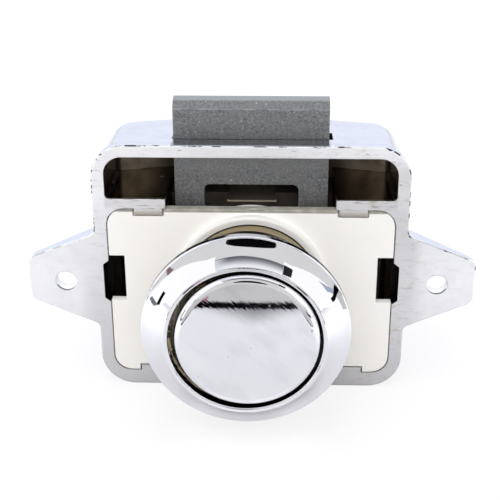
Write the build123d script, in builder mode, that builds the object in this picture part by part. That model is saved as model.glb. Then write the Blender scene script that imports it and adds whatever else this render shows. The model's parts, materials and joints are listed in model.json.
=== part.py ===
from build123d import *
from math import cos, radians, sin, tan
import os

os.makedirs("parts", exist_ok=True)

# Push button cabinet lock, knob pushed in and bolt up.
# The origin is where the knob's axis crosses the mounting plane, between the two screw holes.
# X runs to the right, Y into the case and Z up, so the knob looks along -Y.

# Travel of the moving pieces
knob_travel = 7.5
knob_overpress = 0.8
bolt_drop = 5.8
overrun = 1.0
sliding_gap = 0.1
running_gap = 0.05

# Case
rim_half = 24.25
rim_top = 22.7
rim_drop = 18.7
rim_side_width = 2.0
rim_top_width = 1.9
rim_foot_width = 2.5
rim_thickness = 1.3
rim_corner = 5.4
rim_edge_round = 0.3
side_step = 0.6
top_step = 0.15
body_corner = 5.0
case_depth = 17.0
case_draft = 2.0
back_flat_half = 9.5
back_lean = 14.5
back_round = 2.0
back_wall = 1.6
mouth_corner = 2.8
shelf_top = 14.05
shelf_thickness = 1.55
shelf_side_gap = 1.15
pocket_low_corner = 0.6
seat_size = 3.6
side_recess_depth = 3.2
side_recess_half = 3.6
side_recess_slope = 0.65
side_recess_reach = 0.85

# Mounting ears
ear_reach = 35.0
ear_root_top = 8.2
ear_root_drop = 7.7
ear_tip_top = 4.0
ear_tip_drop = 3.1
ear_tip_round = 2.0
ear_root_round = 1.2
ear_root_thickness = 3.0
ear_tip_thickness = 1.0
screw_hole_radius = 1.65
screw_hole_inset = 5.9

# Bolt
bolt_front = 4.0
bolt_thickness = 3.2
bolt_half = 11.85
bolt_proud = 5.6
bolt_foot_gap = 1.2
bolt_bevel_height = 1.2
bolt_bevel_depth = 1.5
bolt_edge_round = 0.35
window_side_gap = 0.35
window_top_gap = 2.2
window_corner = 1.0
slot_side_gap = 0.35
slot_shift = 0.2
slot_gap = 0.15
groove_gap = 0.15
groove_end_gap = 0.3

# Moulded plate in the mouth of the case
plate_gap = 0.12
plate_recess = 0.05
plate_thickness = 1.5
plate_edge_round = 0.2
boss_wall = 1.15
boss_proud = 1.45
boss_edge_round = 0.5
side_notch_depth = 2.5
side_notch_top = 4.5
side_notch_drop = 3.4
tab_inset = 0.5
tab_width = 4.35
tab_reach_top = 1.1
tab_reach_bottom = 1.0
tab_thickness = 0.75
tab_gap = 0.22

# Knob
knob_radius = 10.5
knob_wall = 2.1
knob_reach = 19.25
knob_rear_gap = 0.2
knob_face_round = 1.25
knob_face_crown = 0.12
knob_face_pip = 0.2
knob_face_thickness = 1.6
knob_wall_gap = 0.2
hub_gap = 0.3
hub_flange_thickness = 2.0
hub_rear = 4.0
nut_half_across = 3.8
nut_thickness = 4.0
nut_sides = 6

# Slider that runs through the bolt
slider_play = 0.2
slider_half = 7.0
slider_top = 7.0
slider_drop = 6.2
slider_end_gap = 0.4
flange_front = 0.8
flange_thickness = 2.0
tube_wall = 1.4
tube_reach = 12.0
web_thickness = 2.0
web_back = 4.0
rib_reach = 1.9
rib_half_height = 1.1
rib_level = 2.6

# Track plate with the heart-shaped groove, and its pin
track_thickness = 1.8
track_half = 5.8
track_front = 3.2
track_depth = 1.2
track_width = 1.6
track_peg_radius = 0.8
track_peg_length = 1.0
lane_offset = 2.6
pin_depth = 4.9
pin_entry = 1.0
heart_depth = 5.4
heart_dip_half = 0.6
wire_radius = 0.6
wire_bend = 1.2
wire_gap = 0.4
wire_pivot_inset = 2.2
wire_hold_share = 0.43

# Catch bracket, leaf and rivets
bracket_half = 4.5
bracket_thickness = 3.8
leaf_thickness = 0.3
leaf_gap = 0.1
leaf_half = 1.9
leaf_tip_inset = 0.9
rivet_offset = 3.2
rivet_radius = 0.7
rivet_head_radius = 1.15
rivet_head_height = 0.6
rivet_hold_share = 0.4

# Guide behind the bolt
guide_gap = 0.1
guide_leg_width = 3.3
guide_top_gap = 0.2
guide_foot = 10.0
guide_side_gap = 0.5
guide_passage_gap = 0.5
guide_notch_half = 3.7
guide_notch_depth = 1.4
peg_height = 4.5
peg_radius = 0.9
peg_reach = 3.4

# Knob spring and its riveted post
spring_radius = 4.15
spring_wire_radius = 0.35
spring_bore_gap = 0.3
spring_turns = 8
post_radius = 2.2
post_reach = 6.0
post_flange_radius = 4.6
post_flange_thickness = 0.4
post_tenon_radius = 1.5
post_head_radius = 2.4
post_head_height = 0.4

# Stem that sets the knob's length for the door
stem_radius = 2.5
stem_tip_gap = 1.3
stem_head_radius = 3.3
stem_head_height = 1.5
stem_slot_width = 0.9
stem_slot_depth = 0.7
washer_radius = 4.6
washer_thickness = 0.6
clip_radius = 4.0
clip_groove_depth = 0.5
clip_thickness = 0.6
clip_mouth = 2.6

# Loose rosette, hanging down and to the left on the knob
rosette_height = 4.2
rosette_set_back = 0.85
rosette_flare = 3.45
rosette_edge = 1.4
rosette_edge_round = 0.3
rosette_lip_width = 0.65
rosette_lip_step = 0.2
rosette_lip_round = 0.3
rosette_lip_depth = 1.8
rosette_hollow = 0.42
rosette_hang_angle = 225
sleeve_gap = 0.4
sleeve_wall = 0.65
sleeve_length = 11.6

# Places in the case that several pieces share
cavity_depth = case_depth - back_wall
mouth_half = rim_half - rim_side_width
mouth_drop = rim_drop - rim_foot_width
pocket_top = rim_top - rim_top_width
shelf_bottom = shelf_top - shelf_thickness
shelf_gap_half = bolt_half + shelf_side_gap
slot_half = bolt_half + slot_side_gap
body_half = rim_half - side_step
body_top = rim_top - top_step
body_drop = rim_drop - side_step
full_draft = case_depth * tan(radians(case_draft))
cavity_draft = cavity_depth * tan(radians(case_draft))
back_lean_share = tan(radians(back_lean))
seat_front = plate_recess + plate_thickness
screw_hole_spacing = 2 * (ear_reach - screw_hole_inset)
tab_x = shelf_gap_half + tab_inset + tab_width / 2

# Places along the knob's axis
bolt_back = bolt_front + bolt_thickness
bolt_middle = bolt_front + bolt_thickness / 2
boss_back = bolt_front - 2 * slot_gap
flange_back = flange_front + flange_thickness
slider_back = cavity_depth - knob_overpress - slider_end_gap
guide_front = bolt_back + slot_gap + guide_gap
spring_front = web_back
spring_back = cavity_depth - post_flange_thickness
knob_rear = flange_front - knob_rear_gap
knob_floor = knob_reach - knob_face_thickness
stem_reach = knob_floor - stem_tip_gap
rosette_lip_reach = knob_reach - rosette_set_back
rosette_back = rosette_lip_reach - rosette_height
rosette_shoulder = rosette_lip_reach - rosette_lip_depth

# Round sizes that fit in one another
boss_bore = knob_radius + sliding_gap
boss_radius = boss_bore + boss_wall
slider_radius = boss_bore - slider_play
knob_inner = knob_radius - knob_wall
tube_radius = knob_inner - knob_wall_gap
hub_radius = tube_radius - tube_wall - hub_gap
spring_bore = spring_radius + spring_wire_radius + spring_bore_gap
hub_bore = stem_radius + running_gap
clip_groove_radius = stem_radius - clip_groove_depth
sleeve_bore = knob_radius + sleeve_gap
sleeve_radius = sleeve_bore + sleeve_wall
rosette_lip_inner = sleeve_bore + rosette_lip_step
rosette_lip_outer = rosette_lip_inner + rosette_lip_width
rosette_radius = rosette_lip_outer + rosette_flare
rosette_hang = sleeve_gap - running_gap
rosette_hang_side = rosette_hang * cos(radians(rosette_hang_angle))
rosette_hang_rise = rosette_hang * sin(radians(rosette_hang_angle))

# Fits of the bolt, the slider and the guide
drive_slope_share = bolt_drop / knob_travel
rib_half = slider_half + rib_reach
window_half = slider_half + window_side_gap
window_top = slider_top + bolt_drop + window_top_gap
groove_depth = rib_half + groove_end_gap - window_half
bolt_top = rim_top + bolt_proud
bolt_foot_drop = mouth_drop - bolt_drop - bolt_foot_gap
guide_passage_half = rib_half + guide_side_gap
guide_half = guide_passage_half + guide_leg_width
guide_top = shelf_bottom - guide_top_gap
guide_passage_top = slider_top + guide_passage_gap
peg_offset = guide_passage_half + guide_leg_width / 2

# Places of the catch, from the top down
track_bottom = slider_drop + track_thickness
track_peg_inset = 2 * track_peg_radius
track_peg_spots = [(0, track_front + track_peg_inset), (0, slider_back - track_peg_inset)]
pin_tip = track_bottom - pin_entry
wire_level = track_bottom + wire_gap + wire_radius
wire_pivot_depth = cavity_depth - wire_pivot_inset
bracket_front = cavity_depth - bracket_thickness
bracket_top = wire_level + wire_radius + leaf_gap + leaf_thickness
bracket_foot = mouth_drop - cavity_draft - running_gap
bracket_height = bracket_foot - bracket_top
wire_foot = bracket_top - wire_level + wire_hold_share * bracket_height
rivet_length = rivet_hold_share * bracket_height
leaf_tip_depth = pin_depth + leaf_tip_inset


def facing(depth):
    """Sketch plane across the knob's axis at a depth behind the mounting plane."""
    return Plane.XZ.offset(-depth)


def outline(depth, half, top, drop, top_radius, low_radius):
    """Rectangle with rounded corners, seen from the front."""
    with BuildSketch(facing(depth)) as face:
        with Locations((0, (top - drop) / 2)):
            Rectangle(2 * half, top + drop)
        fillet(face.vertices().group_by(Axis.Y)[-1], top_radius)
        fillet(face.vertices().group_by(Axis.Y)[0], low_radius)
    return face.sketch


def back_slants(depth):
    """What lies behind the leaning sides of a back at this depth, in plan."""
    reach = rim_half + overrun
    side = depth - (reach - back_flat_half) * back_lean_share
    with BuildSketch(Plane.XY.offset(-rim_drop - overrun)) as plan:
        Polygon(
            (back_flat_half, depth),
            (reach, side),
            (reach, depth + overrun),
            (back_flat_half, depth + overrun),
            align=None,
        )
        mirror(about=Plane.YZ)
    return plan.sketch


def drive_line(depth):
    """Height of the drive ribs' centre at a depth, with the bolt up."""
    return rib_level - drive_slope_share * (depth - bolt_middle)


def drive_band(front, back, half_height):
    """Slanted band of the ribs or of the grooves they run in, seen from the side."""
    return (
        (front, drive_line(front) - half_height),
        (back, drive_line(back) - half_height),
        (back, drive_line(back) + half_height),
        (front, drive_line(front) + half_height),
    )


full_height = rim_top + rim_drop + 2 * overrun

# Hollow of the case: the main room, the two pockets beside the bolt and the bolt's way up
room_front = outline(-overrun, mouth_half, shelf_bottom, mouth_drop, mouth_corner, mouth_corner)
room_back = outline(
    cavity_depth,
    mouth_half - cavity_draft,
    shelf_bottom - cavity_draft,
    mouth_drop - cavity_draft,
    mouth_corner,
    mouth_corner,
)
pocket_front = outline(-overrun, mouth_half, pocket_top, -shelf_top, mouth_corner, pocket_low_corner)
pocket_back = outline(
    cavity_depth,
    mouth_half - cavity_draft,
    pocket_top - cavity_draft,
    -shelf_top,
    mouth_corner,
    pocket_low_corner,
)
seat_x = mouth_half - seat_size / 2
seat_spots = [
    (side * seat_x, height)
    for side in (-1, 1)
    for height in (shelf_bottom - seat_size / 2, seat_size / 2 - mouth_drop)
]

with BuildPart() as cavity:
    loft([room_front, room_back], ruled=True)
    with BuildSketch(facing(cavity_depth)) as seats:
        with Locations(*seat_spots):
            Rectangle(seat_size, seat_size)
    extrude(amount=cavity_depth - seat_front, mode=Mode.SUBTRACT)
    loft([pocket_front, pocket_back], ruled=True)
    with BuildSketch(facing(cavity_depth)) as bolt_way:
        with Locations((0, shelf_bottom)):
            Rectangle(2 * shelf_gap_half, 2 * (shelf_thickness + overrun))
    extrude(amount=cavity_depth + overrun)
    extrude(back_slants(cavity_depth), amount=full_height, mode=Mode.SUBTRACT)

# Die-cast case with its rim, ears, bolt slot, clinched tabs and guide pegs
body_front_face = outline(0, body_half, body_top, body_drop, body_corner, body_corner)
body_back_face = outline(
    case_depth,
    body_half - full_draft,
    body_top - full_draft,
    body_drop - full_draft,
    body_corner - full_draft,
    body_corner - full_draft,
)
ear_inner = body_half - side_step
ear_points = (
    (ear_inner, ear_root_top),
    (rim_half, ear_root_top),
    (ear_reach, ear_tip_top),
    (ear_reach, -ear_tip_drop),
    (rim_half, -ear_root_drop),
    (ear_inner, -ear_root_drop),
)

with BuildPart() as housing:
    loft([body_front_face, body_back_face], ruled=True)
    extrude(back_slants(case_depth), amount=full_height, mode=Mode.SUBTRACT)
    back_edges = housing.edges().filter_by_position(Axis.Y, rim_thickness + overrun, case_depth)
    fillet(back_edges.filter_by(lambda edge: edge.center().Y > case_depth / 2), back_round)
    with BuildSketch(facing(rim_thickness)) as rim:
        with Locations((0, (rim_top - rim_drop) / 2)):
            Rectangle(2 * rim_half, rim_top + rim_drop)
        fillet(rim.vertices(), rim_corner)
        for turn in (1, -1):
            Polygon(*[(turn * x, z) for x, z in ear_points], align=None)
        ear_tips = rim.vertices().filter_by(lambda v: abs(v.X) > (rim_half + ear_reach) / 2)
        fillet(ear_tips, ear_tip_round)
        ear_roots = rim.vertices().filter_by(
            lambda v: abs(abs(v.X) - rim_half) < side_step / 2 and -rim_drop / 2 < v.Y < rim_top / 2
        )
        fillet(ear_roots, ear_root_round)
    extrude(amount=rim_thickness)
    with BuildSketch(facing(ear_root_thickness)) as ears:
        for turn in (1, -1):
            Polygon(*[(turn * x, z) for x, z in ear_points], align=None)
        fillet(ears.vertices().filter_by(lambda v: abs(v.X) > (rim_half + ear_reach) / 2), ear_tip_round)
    extrude(amount=ear_root_thickness - rim_edge_round)
    with BuildSketch(Plane.XY.offset(-rim_drop - overrun)) as ear_backs:
        Polygon(
            (rim_half, ear_root_thickness),
            (ear_reach, ear_tip_thickness),
            (ear_reach + overrun, ear_tip_thickness),
            (ear_reach + overrun, ear_root_thickness + overrun),
            (rim_half, ear_root_thickness + overrun),
            align=None,
        )
        mirror(about=Plane.YZ)
    extrude(amount=full_height, mode=Mode.SUBTRACT)
    fillet(housing.faces().sort_by(Axis.Y)[0].outer_wire().edges(), rim_edge_round)
    add(cavity.part, mode=Mode.SUBTRACT)
    with BuildSketch(Plane.XY.offset(pocket_top - overrun)) as slot:
        with Locations((slot_shift, bolt_middle)):
            Rectangle(2 * slot_half, bolt_thickness + 2 * slot_gap)
    extrude(amount=full_height, mode=Mode.SUBTRACT)
    with BuildSketch(facing(side_recess_depth)) as side_recesses:
        Polygon(
            (mouth_half - side_recess_reach, side_recess_half),
            (mouth_half, side_recess_half),
            (mouth_half + side_recess_reach, side_recess_half - side_recess_slope),
            (mouth_half + side_recess_reach, side_recess_slope - side_recess_half),
            (mouth_half, -side_recess_half),
            (mouth_half - side_recess_reach, -side_recess_half),
            align=None,
        )
        mirror(about=Plane.YZ)
    extrude(amount=side_recess_depth + overrun, mode=Mode.SUBTRACT)
    with BuildSketch(facing(plate_recess + tab_thickness)) as tabs:
        with Locations((tab_x, shelf_bottom), (-tab_x, shelf_bottom)):
            Rectangle(tab_width, 2 * tab_reach_top)
        with Locations((tab_x, -mouth_drop), (-tab_x, -mouth_drop)):
            Rectangle(tab_width, 2 * tab_reach_bottom)
    extrude(amount=tab_thickness)
    with BuildSketch(facing(cavity_depth)) as pegs:
        with GridLocations(2 * peg_offset, 2 * peg_height, 2, 2):
            Circle(peg_radius)
    extrude(amount=peg_reach)
    with BuildSketch(facing(case_depth + overrun)) as holes:
        Circle(post_tenon_radius + running_gap)
    extrude(amount=back_wall + 2 * overrun, mode=Mode.SUBTRACT)
    with BuildSketch(facing(ear_root_thickness + overrun)) as screw_holes:
        with GridLocations(screw_hole_spacing, 0, 2, 1):
            Circle(screw_hole_radius)
    extrude(amount=ear_root_thickness + 2 * overrun, mode=Mode.SUBTRACT)
housing.part.label = "housing"
export_step(housing.part, "parts/housing.step")

# Moulded front plate with the round boss that guides the knob
plate_half = mouth_half - plate_gap
plate_top = shelf_bottom - plate_gap
plate_drop = mouth_drop - plate_gap
plate_face = outline(seat_front, plate_half, plate_top, plate_drop, mouth_corner, mouth_corner)
notch_height = side_notch_top + side_notch_drop
notch_x = mouth_half - side_notch_depth / 2
notch_z = (side_notch_top - side_notch_drop) / 2
tab_pocket = plate_recess + tab_thickness + plate_gap

with BuildPart() as front_plate:
    extrude(plate_face, amount=plate_thickness)
    fillet(front_plate.faces().sort_by(Axis.Y)[0].outer_wire().edges(), plate_edge_round)
    with BuildSketch(facing(boss_back)):
        Circle(boss_radius)
    extrude(amount=boss_back + boss_proud)
    fillet(front_plate.faces().sort_by(Axis.Y)[0].outer_wire().edges(), boss_edge_round)
    with BuildSketch(facing(boss_back + overrun)):
        Circle(boss_bore)
    extrude(amount=boss_back + boss_proud + 2 * overrun, mode=Mode.SUBTRACT)
    with BuildSketch(facing(seat_front + overrun)):
        with Locations((notch_x, notch_z), (-notch_x, notch_z)):
            Rectangle(side_notch_depth + plate_gap, notch_height)
    extrude(amount=plate_thickness + 2 * overrun, mode=Mode.SUBTRACT)
    with BuildSketch(facing(tab_pocket)):
        with Locations((tab_x, shelf_bottom), (-tab_x, shelf_bottom)):
            Rectangle(tab_width + 2 * tab_gap, 2 * (tab_reach_top + tab_gap))
        with Locations((tab_x, -mouth_drop), (-tab_x, -mouth_drop)):
            Rectangle(tab_width + 2 * tab_gap, 2 * (tab_reach_bottom + tab_gap))
    extrude(amount=tab_pocket + overrun, mode=Mode.SUBTRACT)
front_plate.part.label = "front_plate"
export_step(front_plate.part, "parts/front_plate.step")

# Guide arch behind the bolt, on the case's pegs
passage_height = guide_passage_top + guide_foot + overrun
with BuildPart() as rear_guide:
    with BuildSketch(facing(cavity_depth)) as arch:
        with Locations((0, (guide_top - guide_foot) / 2)):
            Rectangle(2 * guide_half, guide_top + guide_foot)
        with Locations((0, (guide_passage_top - guide_foot - overrun) / 2)):
            Rectangle(2 * guide_passage_half, passage_height, mode=Mode.SUBTRACT)
        with Locations((0, guide_top)):
            Rectangle(2 * guide_notch_half, 2 * guide_notch_depth, mode=Mode.SUBTRACT)
        with GridLocations(2 * peg_offset, 2 * peg_height, 2, 2):
            Circle(peg_radius + running_gap, mode=Mode.SUBTRACT)
    extrude(amount=cavity_depth - guide_front)
    extrude(back_slants(cavity_depth), amount=full_height, mode=Mode.SUBTRACT)
rear_guide.part.label = "rear_guide"
export_step(rear_guide.part, "parts/rear_guide.step")

# Bolt: a plate with a fork that straddles the slider
groove_band = drive_band(bolt_front - overrun, bolt_back + overrun, rib_half_height + groove_gap)
with BuildPart() as bolt:
    with BuildSketch(facing(bolt_back)) as blade:
        with Locations((0, (bolt_top - bolt_foot_drop) / 2)):
            Rectangle(2 * bolt_half, bolt_top + bolt_foot_drop)
    extrude(amount=bolt_thickness)
    with BuildSketch(facing(bolt_back + overrun)) as window:
        with Locations((0, (window_top - bolt_foot_drop - overrun) / 2)):
            Rectangle(2 * window_half, window_top + bolt_foot_drop + overrun)
        fillet(window.vertices().group_by(Axis.Y)[-1], window_corner)
    extrude(amount=bolt_thickness + 2 * overrun, mode=Mode.SUBTRACT)
    with BuildSketch(Plane.YZ.offset(-bolt_half - overrun)) as bevel:
        Polygon(
            (bolt_front - overrun, bolt_top - bolt_bevel_height),
            (bolt_front, bolt_top - bolt_bevel_height),
            (bolt_front + bolt_bevel_depth, bolt_top),
            (bolt_front + bolt_bevel_depth, bolt_top + overrun),
            (bolt_front - overrun, bolt_top + overrun),
            align=None,
        )
    extrude(amount=2 * (bolt_half + overrun), mode=Mode.SUBTRACT)
    fillet(bolt.edges().filter_by(Axis.X).group_by(Axis.Z)[-1], bolt_edge_round)
    for start in (window_half - overrun, -window_half - groove_depth):
        with BuildSketch(Plane.YZ.offset(start)) as groove:
            Polygon(*groove_band, align=None)
        extrude(amount=groove_depth + overrun, mode=Mode.SUBTRACT)
bolt.part.label = "bolt"
export_step(bolt.part, "parts/bolt.step")

# Slider: guide flange, telescoping tube, square body and the two slanted drive ribs
with BuildPart() as slider:
    with BuildSketch(facing(flange_back)):
        Circle(slider_radius)
    extrude(amount=flange_thickness)
    with BuildSketch(facing(slider_back)):
        with Locations((0, (slider_top - slider_drop) / 2)):
            Rectangle(2 * slider_half, slider_top + slider_drop)
    extrude(amount=slider_back - flange_front)
    with BuildSketch(Plane.YZ.offset(-rib_half)):
        Polygon(*drive_band(flange_front, slider_back, rib_half_height), align=None)
    extrude(amount=2 * rib_half)
    with BuildSketch(facing(slider_back)):
        with Locations((0, -slider_drop)):
            Rectangle(2 * slider_radius, slider_radius, align=(Align.CENTER, Align.MAX))
    extrude(amount=slider_back - flange_back, mode=Mode.SUBTRACT)
    with BuildSketch(facing(slider_back)):
        Circle(slider_radius)
    extrude(amount=slider_back - flange_front, mode=Mode.INTERSECT)
    with BuildSketch(facing(flange_front)):
        Circle(tube_radius)
    extrude(amount=tube_reach + flange_front)
    with BuildSketch(facing(web_back - web_thickness)):
        Circle(tube_radius - tube_wall)
    extrude(amount=web_back - web_thickness + tube_reach + overrun, mode=Mode.SUBTRACT)
    with BuildSketch(facing(slider_back + overrun)):
        Circle(spring_bore)
    extrude(amount=slider_back + overrun - web_back, mode=Mode.SUBTRACT)
    with BuildSketch(facing(web_back + overrun)):
        Circle(stem_radius + running_gap)
    extrude(amount=web_thickness + 2 * overrun, mode=Mode.SUBTRACT)
    with BuildSketch(Plane.XY.offset(-slider_drop - overrun)):
        with Locations(*track_peg_spots):
            Circle(track_peg_radius + running_gap)
    extrude(amount=overrun + track_peg_length + running_gap, mode=Mode.SUBTRACT)
slider.part.label = "slider"
export_step(slider.part, "parts/slider.step")

# Track plate under the slider: the groove runs round a heart-shaped island
track_end = pin_depth + knob_travel
heart_back = pin_depth + heart_depth
lane_back = heart_back - lane_offset
lane_front = pin_depth - track_width / 4
heart_top = pin_depth - knob_overpress

with BuildPart() as track_plate:
    with BuildSketch(Plane.XY.offset(-track_bottom)):
        with Locations((0, (track_front + slider_back) / 2)):
            Rectangle(2 * track_half, slider_back - track_front)
    extrude(amount=track_thickness)
    with BuildSketch(Plane.XY.offset(-slider_drop)):
        with Locations(*track_peg_spots):
            Circle(track_peg_radius)
    extrude(amount=track_peg_length)
    with BuildSketch(Plane.XY.offset(-track_bottom - overrun)):
        with BuildLine():
            Line((0, track_end), (0, heart_back))
            for side in (-1, 1):
                Polyline(
                    (0, heart_back),
                    (side * lane_offset, lane_back),
                    (side * lane_offset, lane_front),
                    (side * heart_dip_half, heart_top),
                    (0, pin_depth),
                )
            Line((-heart_dip_half, heart_top), (heart_dip_half, heart_top))
        trace(line_width=track_width)
    extrude(amount=track_depth + overrun, mode=Mode.SUBTRACT)
track_plate.part.label = "track_plate"
export_step(track_plate.part, "parts/track_plate.step")

# Wire pin that rides in the heart-shaped groove
with BuildPart() as catch_wire:
    with BuildLine() as wire_path:
        FilletPolyline(
            (0, pin_depth, -pin_tip),
            (0, pin_depth, -wire_level),
            (0, wire_pivot_depth, -wire_level),
            (0, wire_pivot_depth, -wire_level - wire_foot),
            radius=wire_bend,
        )
    with BuildSketch(Plane.XY.offset(-pin_tip)):
        with Locations((0, pin_depth)):
            Circle(wire_radius)
    sweep()
catch_wire.part.label = "catch_wire"
export_step(catch_wire.part, "parts/catch_wire.step")

# Bracket that holds the wire, against the back of the case
with BuildPart() as catch_bracket:
    with BuildSketch(facing(cavity_depth)):
        with Locations((0, -(bracket_foot + bracket_top) / 2)):
            Rectangle(2 * bracket_half, bracket_foot - bracket_top)
    extrude(amount=cavity_depth - bracket_front)
    with BuildSketch(Plane.XY.offset(-wire_level - wire_foot - running_gap)):
        with Locations((0, wire_pivot_depth)):
            Circle(wire_radius + running_gap)
    extrude(amount=wire_foot, mode=Mode.SUBTRACT)
    with BuildSketch(Plane.XY.offset(-bracket_top - rivet_length - running_gap)):
        with Locations((-rivet_offset, wire_pivot_depth), (rivet_offset, wire_pivot_depth)):
            Circle(rivet_radius + running_gap)
    extrude(amount=rivet_length + overrun, mode=Mode.SUBTRACT)
catch_bracket.part.label = "catch_bracket"
export_step(catch_bracket.part, "parts/catch_bracket.step")

# Leaf spring that keeps the wire up in the groove
with BuildPart() as catch_leaf:
    with BuildSketch(Plane.XY.offset(-bracket_top)):
        with Locations((0, (bracket_front + cavity_depth) / 2)):
            Rectangle(2 * bracket_half - 2 * leaf_gap, cavity_depth - bracket_front - 2 * leaf_gap)
        with Locations((0, (leaf_tip_depth + wire_pivot_depth) / 2)):
            Rectangle(2 * leaf_half, wire_pivot_depth - leaf_tip_depth)
        with Locations((0, wire_pivot_depth)):
            Circle(wire_radius + 2 * leaf_gap, mode=Mode.SUBTRACT)
        with Locations((-rivet_offset, wire_pivot_depth), (rivet_offset, wire_pivot_depth)):
            Circle(rivet_radius + running_gap, mode=Mode.SUBTRACT)
    extrude(amount=leaf_thickness)
catch_leaf.part.label = "catch_leaf"
export_step(catch_leaf.part, "parts/catch_leaf.step")

# Two rivets through the leaf
with BuildPart() as catch_rivets:
    with BuildSketch(Plane.XY.offset(-bracket_top - rivet_length)):
        with Locations((-rivet_offset, wire_pivot_depth), (rivet_offset, wire_pivot_depth)):
            Circle(rivet_radius)
    extrude(amount=rivet_length + leaf_thickness)
    with BuildSketch(Plane.XY.offset(-bracket_top + leaf_thickness)):
        with Locations((-rivet_offset, wire_pivot_depth), (rivet_offset, wire_pivot_depth)):
            Circle(rivet_head_radius)
    extrude(amount=rivet_head_height)
catch_rivets.part.label = "catch_rivets"
export_step(catch_rivets.part, "parts/catch_rivets.step")

# Post riveted in the case's back, inside the knob spring
with BuildPart() as spring_post:
    with BuildSketch(facing(cavity_depth)):
        Circle(post_flange_radius)
    extrude(amount=post_flange_thickness)
    with BuildSketch(facing(cavity_depth)):
        Circle(post_radius)
    extrude(amount=post_flange_thickness + post_reach)
    with BuildSketch(facing(case_depth)):
        Circle(post_tenon_radius)
    extrude(amount=back_wall)
    with BuildSketch(facing(case_depth + post_head_height)):
        Circle(post_head_radius)
    extrude(amount=post_head_height)
    fillet(spring_post.edges().sort_by(Axis.Y)[-1], post_head_height / 2)
    chamfer(spring_post.edges().sort_by(Axis.Y)[0], post_head_height)
spring_post.part.label = "spring_post"
export_step(spring_post.part, "parts/spring_post.step")

# Compression spring that throws the knob out
spring_length = spring_back - spring_front - 2 * spring_wire_radius
with BuildPart() as knob_spring:
    with BuildLine() as spring_path:
        Helix(
            pitch=spring_length / spring_turns,
            height=spring_length,
            radius=spring_radius,
            center=(0, spring_front + spring_wire_radius, 0),
            direction=(0, 1, 0),
        )
    with BuildSketch(spring_path.line ^ 0):
        Circle(spring_wire_radius)
    sweep(is_frenet=True)
knob_spring.part.label = "knob_spring"
export_step(knob_spring.part, "parts/knob_spring.step")

# Stem: a headed screw through the slider's web
stem_head_back = web_back + stem_head_height
clip_back = web_back - web_thickness - washer_thickness
with BuildPart() as stem:
    with BuildSketch(facing(stem_head_back)):
        Circle(stem_head_radius)
    extrude(amount=stem_head_height)
    with BuildSketch(facing(web_back)):
        Circle(stem_radius)
    extrude(amount=web_back + stem_reach)
    chamfer(stem.edges().sort_by(Axis.Y)[0], stem_slot_depth)
    with BuildSketch(facing(clip_back + running_gap)):
        Circle(stem_head_radius)
        Circle(clip_groove_radius, mode=Mode.SUBTRACT)
    extrude(amount=clip_thickness + 2 * running_gap, mode=Mode.SUBTRACT)
    with BuildSketch(facing(stem_head_back + overrun)):
        Rectangle(2 * stem_head_radius, stem_slot_width)
    extrude(amount=stem_slot_depth + overrun, mode=Mode.SUBTRACT)
stem.part.label = "stem"
export_step(stem.part, "parts/stem.step")

# Washer between the web and the clip
with BuildPart() as stem_washer:
    with BuildSketch(facing(web_back - web_thickness)):
        Circle(washer_radius)
        Circle(stem_radius + running_gap, mode=Mode.SUBTRACT)
    extrude(amount=washer_thickness)
stem_washer.part.label = "stem_washer"
export_step(stem_washer.part, "parts/stem_washer.step")

# Snap clip in the stem's groove
with BuildPart() as stem_clip:
    with BuildSketch(facing(clip_back)):
        Circle(clip_radius)
        Circle(clip_groove_radius + running_gap, mode=Mode.SUBTRACT)
        with Locations((0, -clip_radius)):
            Rectangle(clip_mouth, 2 * clip_radius, mode=Mode.SUBTRACT)
    extrude(amount=clip_thickness)
stem_clip.part.label = "stem_clip"
export_step(stem_clip.part, "parts/stem_clip.step")

# Knob: a bright cup with a slightly crowned face
with BuildPart() as knob_cap:
    with BuildSketch(Plane.XY):
        with BuildLine():
            Polyline(
                (knob_face_pip, -knob_reach - knob_face_crown),
                (0, -knob_reach - knob_face_crown),
                (0, -knob_floor),
                (knob_inner, -knob_floor),
                (knob_inner, knob_rear),
                (knob_radius, knob_rear),
                (knob_radius, knob_face_round - knob_reach),
            )
            RadiusArc(
                (knob_radius, knob_face_round - knob_reach),
                (knob_radius - knob_face_round, -knob_reach),
                knob_face_round,
            )
            TangentArc(
                (knob_face_pip, -knob_reach - knob_face_crown),
                (knob_radius - knob_face_round, -knob_reach),
                tangent=(1, 0),
            )
        make_face()
    revolve(axis=Axis.Y)
knob_cap.part.label = "knob_cap"
export_step(knob_cap.part, "parts/knob_cap.step")

# Moulded hub pressed into the cup, with a pocket for the nut
with BuildPart() as knob_hub:
    with BuildSketch(facing(-hub_rear)):
        Circle(hub_radius)
    extrude(amount=knob_floor - hub_rear)
    with BuildSketch(facing(hub_flange_thickness - knob_floor)):
        Circle(knob_inner)
    extrude(amount=hub_flange_thickness)
    with BuildSketch(facing(overrun - hub_rear)):
        Circle(hub_bore)
    extrude(amount=knob_floor - hub_rear, mode=Mode.SUBTRACT)
    with BuildSketch(facing(overrun - hub_rear)):
        RegularPolygon(nut_half_across + running_gap, nut_sides, major_radius=False)
    extrude(amount=nut_thickness + overrun, mode=Mode.SUBTRACT)
knob_hub.part.label = "knob_hub"
export_step(knob_hub.part, "parts/knob_hub.step")

# Nut that the stem turns in
with BuildPart() as knob_nut:
    with BuildSketch(facing(-hub_rear)):
        RegularPolygon(nut_half_across, nut_sides, major_radius=False)
        Circle(hub_bore, mode=Mode.SUBTRACT)
    extrude(amount=nut_thickness)
knob_nut.part.label = "knob_nut"
export_step(knob_nut.part, "parts/knob_nut.step")

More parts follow.
